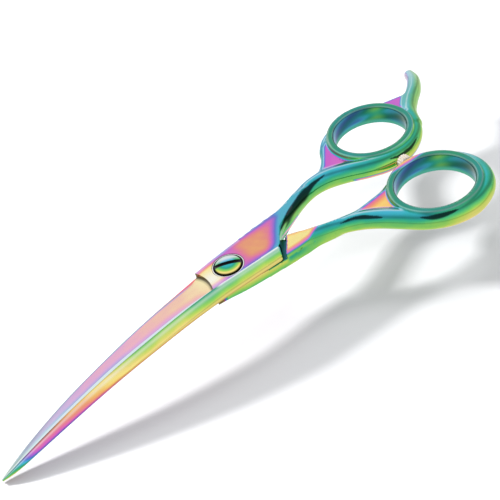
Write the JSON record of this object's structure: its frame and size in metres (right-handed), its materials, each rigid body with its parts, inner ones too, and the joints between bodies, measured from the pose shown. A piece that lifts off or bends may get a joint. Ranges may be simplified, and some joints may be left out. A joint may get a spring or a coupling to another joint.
{
  "type": "curved grooming shears",
  "caption": "Hand shears with curved plain blades, a slotted tension pivot, round finger rings, a fixed finger rest and a silicone ring bumper; they open and close about the pivot.",
  "frame": {"origin": "on the pivot axis, at the flat back end of the pivot screw", "axes": "+Z along the pivot axis towards the screw's slotted head, +X from the pivot to the finger rings, -X to the blade tips; the blades bend towards -Z"},
  "size_m": [0.196, 0.0752, 0.0254],
  "materials": {
    "rainbow_coated_steel": "mirror polished steel under a rainbow interference coating",
    "rainbow_screw_steel": "polished steel under the same coating, teal on the head",
    "polished_steel": "bright polished",
    "spring_steel": "plain ground strip",
    "white_nylon": "plain moulded",
    "pale_silicone": "soft, slightly translucent, moulded"
  },
  "bodies": {
    "finger_half": {"finger_half": "rainbow_coated_steel", "screw_cup_washer": "polished_steel", "tension_spring_washer": "spring_steel", "pivot_bush": "white_nylon", "ride_washer": "white_nylon", "bumper_pad": "pale_silicone", "bumper_stud": "polished_steel"},
    "thumb_half": {"thumb_half": "rainbow_coated_steel"},
    "pivot_screw": {"pivot_screw": "rainbow_screw_steel"}
  },
  "joints": [
    {"name": "blade_pivot", "type": "hinge", "parent": "finger_half", "child": "thumb_half", "pos_m": [0, 0, 0.0034], "axis": [0, 0, -1], "range_deg": [0, 100]},
    {"name": "screw_turn", "type": "hinge", "parent": "thumb_half", "child": "pivot_screw", "pos_m": [0, 0, 0.0034], "axis": [0, 0, 1], "range_deg": [-90, 90]}
  ]
}
